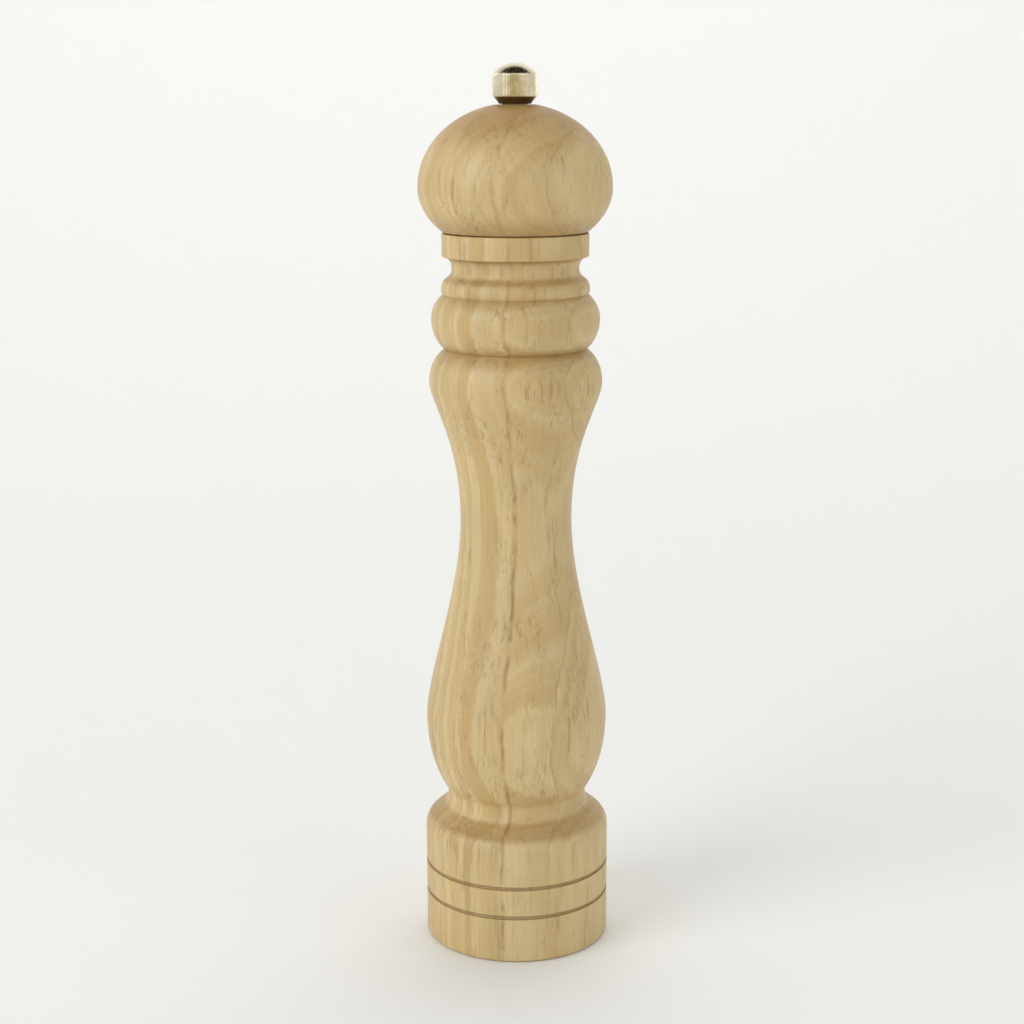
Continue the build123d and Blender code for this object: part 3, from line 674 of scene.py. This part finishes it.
# Moulded plastic: an even colour with a faint cloud in it and the mould's fine texture
def plasticMaterial(name, look):
    material, tree, shader = newMaterial(name)
    place = addNode(tree, "ShaderNodeTexCoord").outputs["Object"]
    grain = addNode(
        tree, "ShaderNodeTexNoise", {"Vector": place, "Scale": look["grainPerMm"] / mm, "Detail": 2.0}
    )
    cloud = addNode(
        tree, "ShaderNodeTexNoise", {"Vector": place, "Scale": look["cloudPerMm"] / mm, "Detail": 1.0}
    )
    cloudShare = addNode(tree, "ShaderNodeMapRange", [cloud, 0.35, 0.65, 0.0, 1.0])
    colours = [linearColour(look[key]) for key in ("colour", "cloud")]
    colour = addNode(tree, "ShaderNodeMix", [cloudShare, *colours], data_type="RGBA")
    rough = addNode(tree, "ShaderNodeMapRange", [grain, *noiseSpan, *look["roughness"]])
    bump = addNode(
        tree, "ShaderNodeBump", {"Strength": 0.4, "Distance": look["bump"] * mm, "Height": grain}
    )
    tree.links.new(colour.outputs[2], shader.inputs["Base Color"])
    tree.links.new(rough.outputs[0], shader.inputs["Roughness"])
    tree.links.new(bump.outputs[0], shader.inputs["Normal"])
    shader.inputs["IOR"].default_value = look["ior"]
    shader.inputs["Subsurface Weight"].default_value = look["scatter"]
    shader.inputs["Subsurface Scale"].default_value = mm
    return material


# Bright nickel plate over a turned and knurled knob: warm mirror, softened by handling, with painted shade in
# dark brown on the faces that look down
nickelPlate = metalMaterial("brightNickelPlate", {
    "colour": "#efe6cb", "stain": "#d9cdab", "under": "#6a5539", "grainPerMm": (2.2, 2.2, 0.12),
    "stainPerMm": 0.35, "roughness": (0.14, 0.3), "bump": 0.006,
})
# Cold-drawn bright bar: long draw lines up the bar, a grey satin sheen
drawnSteel = metalMaterial("brightDrawnSteel", {
    "colour": "#bfbfbd", "stain": "#a9a8a4", "grainPerMm": (3.0, 3.0, 0.05), "stainPerMm": 0.08,
    "roughness": (0.24, 0.4), "bump": 0.01,
})
# Zinc-plated pressing: pale blue-grey, cloudy, with fine rolling marks
zincSheet = metalMaterial("zincPlatedSheet", {
    "colour": "#c4c7c7", "stain": "#b6babb", "grainPerMm": (0.4, 4.0, 4.0), "stainPerMm": 0.3,
    "roughness": (0.3, 0.46), "bump": 0.008,
})
# Zinc-plated screws: the same plate over a rolled thread, a little brighter
zincScrew = metalMaterial("zincPlatedScrew", {
    "colour": "#cccdcb", "stain": "#b1b2b0", "grainPerMm": (3.0, 3.0, 3.0), "stainPerMm": 0.6,
    "roughness": (0.24, 0.38), "bump": 0.008,
})
# Sintered and hardened burr: dark, dull, with the pressed powder's pits drawn 0.2 mm wide to show
sinteredSteel = metalMaterial("sinteredHardenedSteel", {
    "colour": "#7a7a7c", "stain": "#6c6b6d", "grainPerMm": (5.0, 5.0, 5.0), "stainPerMm": 0.25,
    "roughness": (0.4, 0.62), "bump": 0.03,
})
# Oil-tempered spring wire: dark straw-grey, drawn
springWire = metalMaterial("temperedSpringWire", {
    "colour": "#9c9a95", "stain": "#7c776d", "grainPerMm": (2.5, 2.5, 2.5), "stainPerMm": 0.4,
    "roughness": (0.26, 0.42), "bump": 0.006,
})
# Turned brass: yellow, with rings left by the tool, drawn 0.25 mm apart to show
turnedBrass = metalMaterial("turnedBrass", {
    "colour": "#d8b468", "stain": "#b8924a", "grainPerMm": (4.0, 4.0, 4.0), "stainPerMm": 0.4,
    "roughness": (0.2, 0.34), "bump": 0.008, "turned": True,
})
# Black glass-filled nylon, moulded with a fine spark-eroded texture, 0.25 mm between its grains
blackPlastic = plasticMaterial("blackMouldedNylon", {
    "colour": "#171717", "cloud": "#222120", "grainPerMm": 4.0, "cloudPerMm": 0.1,
    "roughness": (0.42, 0.58), "bump": 0.02, "ior": 1.53, "scatter": 0.0,
})
# Natural nylon: milky and slightly translucent, smooth from the mould
naturalNylon = plasticMaterial("naturalNylon", {
    "colour": "#e8e2d2", "cloud": "#dcd4c0", "grainPerMm": 2.0, "cloudPerMm": 0.2,
    "roughness": (0.3, 0.42), "bump": 0.01, "ior": 1.53, "scatter": 0.2,
})
print("materials made:", len(bpy.data.materials))

knobLow, knobHigh = nodeBox("knob")
knobShape = {
    "radius": knobHigh[0],
    "foot": knobLow[2],
    "top": knobHigh[2],
    "footRadius": 5.2,
    "cone": 2.6,
    "dome": 3.8,
    "edge": 0.4,
    "recess": (4.4, 0.6),
    "studBore": 3.3,
    "insertBore": (4.0, 2.0),  # its radius, and its height above the foot
    "boreTop": 297.2,
    "ridges": 80,
    "ridgeDepth": 0.34,
}


def knobOutline(shape):
    radius, foot, top = shape["radius"], shape["foot"], shape["top"]
    sphere = (radius ** 2 + shape["dome"] ** 2) / (2 * shape["dome"])
    rimTurn = math.degrees(math.acos(radius / sphere))
    easeTurn = rimTurn + math.degrees(shape["edge"] / sphere)
    points = arcPoints((0, top - sphere), sphere, 90, easeTurn, 20)
    slope = math.radians(easeTurn - 90)
    pull = shape["edge"] / 2
    rim = (radius, top - shape["dome"] - shape["edge"])
    leave = (pull * math.cos(slope), pull * math.sin(slope))
    points += curvePoints(points[-1], leave, rim, (0, -pull), 8)[1:]
    cone = (radius, foot + shape["cone"])
    points += linePoints((radius, cone[1] + pull), cone, 2)
    points += linePoints(cone, (shape["footRadius"], foot), 30)[1:]
    recessRadius, recessDepth = shape["recess"]
    insertRadius, insertFoot = shape["insertBore"]
    points += [
        (recessRadius, foot),
        (recessRadius, foot + recessDepth),
        (shape["studBore"], foot + recessDepth),
        (shape["studBore"], foot + insertFoot),
        (insertRadius, foot + insertFoot),
        (insertRadius, shape["boreTop"]),
        (0, shape["boreTop"]),
    ]
    return points


knobPiece = growPiece("knurled_knob", knobOutline(knobShape), turned, turnedDefaults | {
    "Segments": 6 * knobShape["ridges"],
    "Ridge Count": float(knobShape["ridges"]),
    "Ridge Radius": knobShape["radius"] * mm,
    "Ridge Depth": knobShape["ridgeDepth"] * mm,
    "Crease Angle": math.radians(30),
    "Material": nickelPlate,
})
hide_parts("knob")
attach(knobPiece, "knob")

shaftLow, shaftHigh = nodeBox("shaft")
shaftShape = {
    "foot": shaftLow[2],
    "top": shaftHigh[2],
    "width": shaftHigh[0] - shaftLow[0],
    "corner": 0.6,
    "grooveFoot": 6.3,
    "groove": 0.7,
    "grooveRadius": 2.2,
    "threadRadius": 2.5,
    "threadLength": 33.0,
    "pitch": 0.8,
    "threadDepth": 0.49,
    "endChamfer": 0.6,
}


def shaftOutline(shape):
    foot, top, thread, wide = shape["foot"], shape["top"], shape["threadRadius"], shape["width"]
    groove, grooveTop = shape["grooveFoot"], shape["grooveFoot"] + shape["groove"]
    barTop, reach = top - shape["threadLength"], wide / 2
    points = [(0, foot), (reach - 0.2, foot), (wide, foot + 0.4), (wide, groove)]
    points += [(shape["grooveRadius"], groove), (shape["grooveRadius"], grooveTop), (wide, grooveTop)]
    points += linePoints((wide, grooveTop), (wide, barTop), 12)[1:]
    points += linePoints((thread, barTop), (thread, top - shape["endChamfer"]), 324)
    points += linePoints((thread, top - shape["endChamfer"]), (thread - shape["endChamfer"], top), 5)[1:]
    points.append((0, top))
    return points[::-1]


shaftPiece = growPiece("threaded_shaft", shaftOutline(shaftShape), turned, turnedDefaults | {
    "Segments": 96,
    "Ridge Count": 1.0,
    "Ridge Turns per Metre": 1 / (shaftShape["pitch"] * mm),
    "Ridge Radius": shaftShape["threadRadius"] * mm,
    "Ridge Depth": shaftShape["threadDepth"] * mm,
    "Ridge Low": (shaftShape["top"] - shaftShape["threadLength"] + 0.05) * mm,
    "Bar Width": shaftShape["width"] * mm,
    "Bar Corner": shaftShape["corner"] * mm,
    "Crease Angle": math.radians(30),
    "Material": drawnSteel,
})
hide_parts("shaft")
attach(shaftPiece, "shaft")

springLow, springHigh = nodeBox("spring")
springShape = {
    "wire": 0.45,
    "coil": springHigh[0] - 0.45,
    "foot": springLow[2],
    "top": springHigh[2],
    "turns": 4.0,
    "deadTurns": 0.9,
}


def springTree():
    tree, given = newTree("coil spring", {
        "Outline": "Geometry", "Coil Radius": "Float", "Wire Radius": "Float", "Foot": "Float",
        "Height": "Float", "Turns": "Float", "Dead Turns": "Float", "Steps": "Int", "Material": "Material",
    })
    line = addNode(tree, "GeometryNodeCurvePrimitiveLine")
    steps = addNode(tree, "GeometryNodeResampleCurve", {"Curve": line, "Count": given["Steps"]})
    share = addNode(tree, "GeometryNodeSplineParameter")
    turn = addNode(tree, "ShaderNodeMath", [share, given["Turns"]], operation="MULTIPLY")
    angle = addNode(tree, "ShaderNodeMath", [turn, tau], operation="MULTIPLY")
    x = addNode(tree, "ShaderNodeMath", [angle], operation="COSINE")
    y = addNode(tree, "ShaderNodeMath", [angle], operation="SINE")

    # the dead turns at each end lie wire on wire, and the live ones share the rest of the height
    wire = addNode(tree, "ShaderNodeMath", [given["Wire Radius"], 2.0], operation="MULTIPLY")
    lastLive = addNode(tree, "ShaderNodeMath", [given["Turns"], given["Dead Turns"]], operation="SUBTRACT")
    live = addNode(tree, "ShaderNodeMath", [lastLive, given["Dead Turns"]], operation="SUBTRACT")
    ends = addNode(tree, "ShaderNodeMath", [given["Turns"], live], operation="SUBTRACT")
    endHeight = addNode(tree, "ShaderNodeMath", [ends, wire], operation="MULTIPLY")
    liveHeight = addNode(tree, "ShaderNodeMath", [given["Height"], endHeight], operation="SUBTRACT")
    liveShare = addNode(tree, "ShaderNodeMapRange", [turn, given["Dead Turns"], lastLive, 0.0, 1.0])
    liveTurns = addNode(tree, "ShaderNodeMath", [liveShare, live], operation="MULTIPLY")
    deadTurns = addNode(tree, "ShaderNodeMath", [turn, liveTurns], operation="SUBTRACT")
    deadRise = addNode(tree, "ShaderNodeMath", [deadTurns, wire], operation="MULTIPLY")
    liveRise = addNode(tree, "ShaderNodeMath", [liveShare, liveHeight], operation="MULTIPLY")
    rise = addNode(tree, "ShaderNodeMath", [deadRise, liveRise], operation="ADD")
    height = addNode(tree, "ShaderNodeMath", [rise, given["Foot"]], operation="ADD")

    ring = addNode(tree, "ShaderNodeCombineXYZ", [x, y])
    wide = addNode(tree, "ShaderNodeVectorMath", [ring, given["Coil Radius"]], operation="SCALE")
    lift = addNode(tree, "ShaderNodeCombineXYZ", {"Z": height})
    place = addNode(tree, "ShaderNodeVectorMath", [wide, lift], operation="ADD")
    coil = addNode(tree, "GeometryNodeSetPosition", {"Geometry": steps, "Position": place})
    section = addNode(
        tree, "GeometryNodeCurvePrimitiveCircle", {"Resolution": 14, "Radius": given["Wire Radius"]}
    )
    body = addNode(
        tree, "GeometryNodeCurveToMesh", {"Curve": coil, "Profile Curve": section, "Fill Caps": True}
    )
    shadeAndEnd(tree, body, math.radians(40), given["Material"])
    return tree


springPiece = growPiece("coil_spring", [(0, 0), (1, 1)], springTree(), {
    "Coil Radius": springShape["coil"] * mm,
    "Wire Radius": springShape["wire"] * mm,
    "Foot": (springShape["foot"] + springShape["wire"]) * mm,
    "Height": (springShape["top"] - springShape["foot"] - 2 * springShape["wire"]) * mm,
    "Turns": springShape["turns"],
    "Dead Turns": springShape["deadTurns"],
    "Steps": 260,
    "Material": springWire,
})
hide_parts("spring")
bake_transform(springPiece)


# Screws on a circle: a turned and threaded screw, a cross recess in its head, each turned its own way
def screwTree(turnedPart):
    own = {
        "Outline": "Geometry", "Segments": "Int", "Thread Pitch": "Float", "Shank Radius": "Float",
        "Thread Depth": "Float", "Seat": "Float", "Head Foot": "Float", "Recess Length": "Float",
        "Recess Width": "Float", "Recess Depth": "Float", "Count": "Int", "Circle Radius": "Float",
        "First Angle": "Float", "Seed": "Int", "Material": "Material",
    }
    tree, given = newTree("screws on a circle", own)
    perMetre = addNode(tree, "ShaderNodeMath", [1.0, given["Thread Pitch"]], operation="DIVIDE")
    screw = addNode(tree, "GeometryNodeGroup", {
        "Outline": given["Outline"], "Segments": given["Segments"], "Ridge Count": 1.0,
        "Ridge Turns per Metre": perMetre, "Ridge Radius": given["Shank Radius"],
        "Ridge Depth": given["Thread Depth"], "Ridge Low": given["Seat"], "Bar Width": 1.0,
        "Crease Angle": math.radians(40),
    }, node_tree=turnedPart)
    twice = addNode(tree, "ShaderNodeMath", [given["Recess Depth"], 2.0], operation="MULTIPLY")
    slotSize = addNode(tree, "ShaderNodeCombineXYZ", [given["Recess Length"], given["Recess Width"], twice])
    slot = addNode(tree, "GeometryNodeMeshCube", {"Size": slotSize})
    crossed = addNode(tree, "GeometryNodeTransform", {"Geometry": slot, "Rotation": (0, 0, tau / 4)})
    atHead = addNode(tree, "ShaderNodeCombineXYZ", {"Z": given["Head Foot"]})
    once = addNode(tree, "GeometryNodeTransform", {"Geometry": slot, "Translation": atHead})
    again = addNode(tree, "GeometryNodeTransform", {"Geometry": crossed, "Translation": atHead})
    cut = {"operation": "DIFFERENCE", "solver": "MANIFOLD"}
    cutOnce = addNode(tree, "GeometryNodeMeshBoolean", [screw, once], **cut)
    cutTwice = addNode(tree, "GeometryNodeMeshBoolean", [cutOnce, again], **cut)
    index = addNode(tree, "GeometryNodeInputIndex")
    share = addNode(tree, "ShaderNodeMath", [index, given["Count"]], operation="DIVIDE")
    angle = addNode(tree, "ShaderNodeMath", [share, tau, given["First Angle"]], operation="MULTIPLY_ADD")
    x = addNode(tree, "ShaderNodeMath", [angle], operation="COSINE")
    y = addNode(tree, "ShaderNodeMath", [angle], operation="SINE")
    ring = addNode(tree, "ShaderNodeCombineXYZ", [x, y])
    place = addNode(tree, "ShaderNodeVectorMath", [ring, given["Circle Radius"]], operation="SCALE")
    points = addNode(tree, "GeometryNodePoints", {"Count": given["Count"], "Position": place})
    anyTurn = addNode(tree, "FunctionNodeRandomValue", {"Max": tau, "Seed": given["Seed"]}, data_type="FLOAT")
    ownTurn = addNode(tree, "ShaderNodeCombineXYZ", {"Z": anyTurn})
    placed = addNode(
        tree, "GeometryNodeInstanceOnPoints", {"Points": points, "Instance": cutTwice, "Rotation": ownTurn}
    )
    whole = addNode(tree, "GeometryNodeRealizeInstances", [placed])
    shadeAndEnd(tree, whole, math.radians(40), given["Material"])
    return tree


def screwOutline(shape):
    steps = {"crown": 10, "turn": 8, "tip": 14}
    edge = 0.1  # broken off under the head
    seat, head, shank = shape["seat"], shape["head"], shape["shank"]
    foot, tip = seat - shape["headHeight"], seat + shape["length"] - shape["tip"]
    middle = seat - shape["headHeight"] / 2
    crown = curvePoints((0, foot), (head * cornerPull, 0), (head, middle), (0, middle - foot), steps["crown"])
    threadSteps = round((tip - seat) / shape["pitch"] * steps["turn"])
    points = crown + [(head, seat - edge), (head - edge, seat), (shank, seat)]
    points += linePoints((shank, seat + nearest), (shank, tip), threadSteps)
    points += linePoints((shank, tip), (0, seat + shape["length"]), steps["tip"])[1:]
    return points[::-1]


screws = screwTree(turned)
screwSets = {
    "grinder_screws": {
        "body": "base", "seat": 7.0, "head": 2.9, "headHeight": 1.7, "shank": 1.5, "length": 12.0,
        "tip": 1.8, "pitch": 1.2, "thread": 0.35, "recess": (2.7, 0.7, 0.95), "count": 3, "circle": 22.356,
        "first": 90, "seed": 5,
    },
    "drive_plate_screws": {
        "body": "head", "seat": 231.8, "head": 2.2, "headHeight": 1.3, "shank": 1.25, "length": 9.0,
        "tip": 1.8, "pitch": 1.0, "thread": 0.3, "recess": (2.0, 0.55, 0.75), "count": 2, "circle": 8.721,
        "first": 0, "seed": 8,
    },
}
for node, shape in screwSets.items():
    long, wide, deep = shape["recess"]
    piece = growPiece("detailed_" + node, screwOutline(shape), screws, {
        "Segments": 36,
        "Thread Pitch": shape["pitch"] * mm,
        "Shank Radius": shape["shank"] * mm,
        "Thread Depth": shape["thread"] * mm,
        "Seat": (shape["seat"] + 0.3) * mm,
        "Head Foot": (shape["seat"] - shape["headHeight"]) * mm,
        "Recess Length": long * mm,
        "Recess Width": wide * mm,
        "Recess Depth": deep * mm,
        "Count": shape["count"],
        "Circle Radius": shape["circle"] * mm,
        "First Angle": math.radians(shape["first"]),
        "Seed": shape["seed"],
        "Material": zincScrew,
    })
    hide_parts(node)
    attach(piece, shape["body"])

# These CAD nodes keep their shape and only take a finish
finishes = {
    "grinder_housing": blackPlastic,
    "rotor_core": blackPlastic,
    "bridge": zincSheet,
    "drive_plate": zincSheet,
    "stator_retainer": zincSheet,
    "spring_washer": zincSheet,
    "rotor_washer": zincSheet,
    "stator": sinteredSteel,
    "rotor": sinteredSteel,
    "rotor_clip": springWire,
    "shaft_bush": naturalNylon,
    "knob_washer": naturalNylon,
    "knob_insert": turnedBrass,
}
for node, material in finishes.items():
    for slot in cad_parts[node].material_slots:
        slot.material = material
print("CAD nodes finished:", len(finishes))

stageLook = {"floor": "#f8f8f6", "halfWidth": 4.0, "front": -4.0, "back": 1.6, "sweep": 1.0, "top": 3.2}


def backdropMesh(look):
    back, sweep = look["back"], look["sweep"]
    section = [(look["front"], 0.0)]
    section += [(back - sweep + y, sweep + z) for y, z in arcPoints((0, 0), sweep, -90, 0, 24)]
    section += [(back, look["top"])]
    vertices = [(side * look["halfWidth"], y, z) for y, z in section for side in (-1, 1)]
    faces = [(2 * i, 2 * i + 1, 2 * i + 3, 2 * i + 2) for i in range(len(section) - 1)]
    mesh = bpy.data.meshes.new("paper_sweep")
    mesh.from_pydata(vertices, [], faces)
    for face in mesh.polygons:
        face.use_smooth = True
    return mesh


# Matt paper, faintly cloudy
paper, paperTree, paperShader = newMaterial("mattPaper")
paperPlace = addNode(paperTree, "ShaderNodeTexCoord").outputs["Object"]
paperCloud = addNode(paperTree, "ShaderNodeTexNoise", {"Vector": paperPlace, "Scale": 3.0, "Detail": 2.0})
paperRough = addNode(paperTree, "ShaderNodeMapRange", [paperCloud, *noiseSpan, 0.85, 0.95])
paperTree.links.new(paperRough.outputs[0], paperShader.inputs["Roughness"])
paperShader.inputs["Base Color"].default_value = linearColour(stageLook["floor"])
paperShader.inputs["Specular IOR Level"].default_value = 0.1
backdrop = bpy.data.objects.new("backdrop", backdropMesh(stageLook))
backdrop.data.materials.append(paper)
bpy.context.collection.objects.link(backdrop)

lampAim = (0, 0, 0.14)
lamps = {
    "key": {"place": (-1.5, -1.1, 1.15), "size": 1.3, "power": 17.0},
    "fill": {"place": (1.7, -1.3, 0.7), "size": 1.4, "power": 4.5},
    "paper": {"place": (0.2, 0.7, 2.4), "size": 1.8, "power": 18.5},
}
for name, look in lamps.items():
    lamp = bpy.data.lights.new(name, "AREA")
    lamp.size, lamp.energy = look["size"], look["power"]
    holder = bpy.data.objects.new(name, lamp)
    holder.location = look["place"]
    holder.rotation_euler = (Vector(lampAim) - holder.location).to_track_quat("-Z", "Y").to_euler()
    holder.visible_glossy = name != "paper"
    bpy.context.collection.objects.link(holder)

# A white room with a darker ceiling, which the knob's dome reflects
roomLook = {"wall": "#ffffff", "ceiling": "#2c261f", "ceilingFrom": (0.62, 0.8), "strength": 0.8}
world = bpy.data.worlds.new("white room")
bpy.context.scene.world = world
world.use_nodes = True
worldTree = world.node_tree
skyPlace = addNode(worldTree, "ShaderNodeTexCoord").outputs["Generated"]
skyHeight = addNode(worldTree, "ShaderNodeSeparateXYZ", [skyPlace]).outputs["Z"]
ceiling = addNode(worldTree, "ShaderNodeMapRange", [skyHeight, *roomLook["ceilingFrom"], 0.0, 1.0])
roomColours = [linearColour(text) for text in (roomLook["wall"], roomLook["ceiling"])]
sky = addNode(worldTree, "ShaderNodeMix", [ceiling, *roomColours], data_type="RGBA")
worldTree.links.new(sky.outputs[2], worldTree.nodes["Background"].inputs["Color"])
worldTree.nodes["Background"].inputs["Strength"].default_value = roomLook["strength"]

camera = bpy.data.cameras.new("camera")
cameraObject = bpy.data.objects.new("camera", camera)
cameraLook = {
    "lens": 67.1,
    "sensor": 36.0,
    "place": (0.0, -0.6359, 0.2891),
    "down": 12.27,
    "aside": -0.1225,
    "roll": -0.166,
}
camera.lens, camera.sensor_width = cameraLook["lens"], cameraLook["sensor"]
turnAside = Quaternion((0, 0, 1), -math.radians(cameraLook["aside"]))
turnDown = Quaternion((1, 0, 0), math.radians(90 - cameraLook["down"]))
turnRoll = Quaternion((0, 0, 1), math.radians(cameraLook["roll"]))
cameraObject.location = cameraLook["place"]
cameraObject.rotation_mode = "QUATERNION"
cameraObject.rotation_quaternion = turnAside @ turnDown @ turnRoll
bpy.context.collection.objects.link(cameraObject)
bpy.context.scene.camera = cameraObject
bpy.context.scene.view_settings.view_transform = "Standard"

print("scene made")
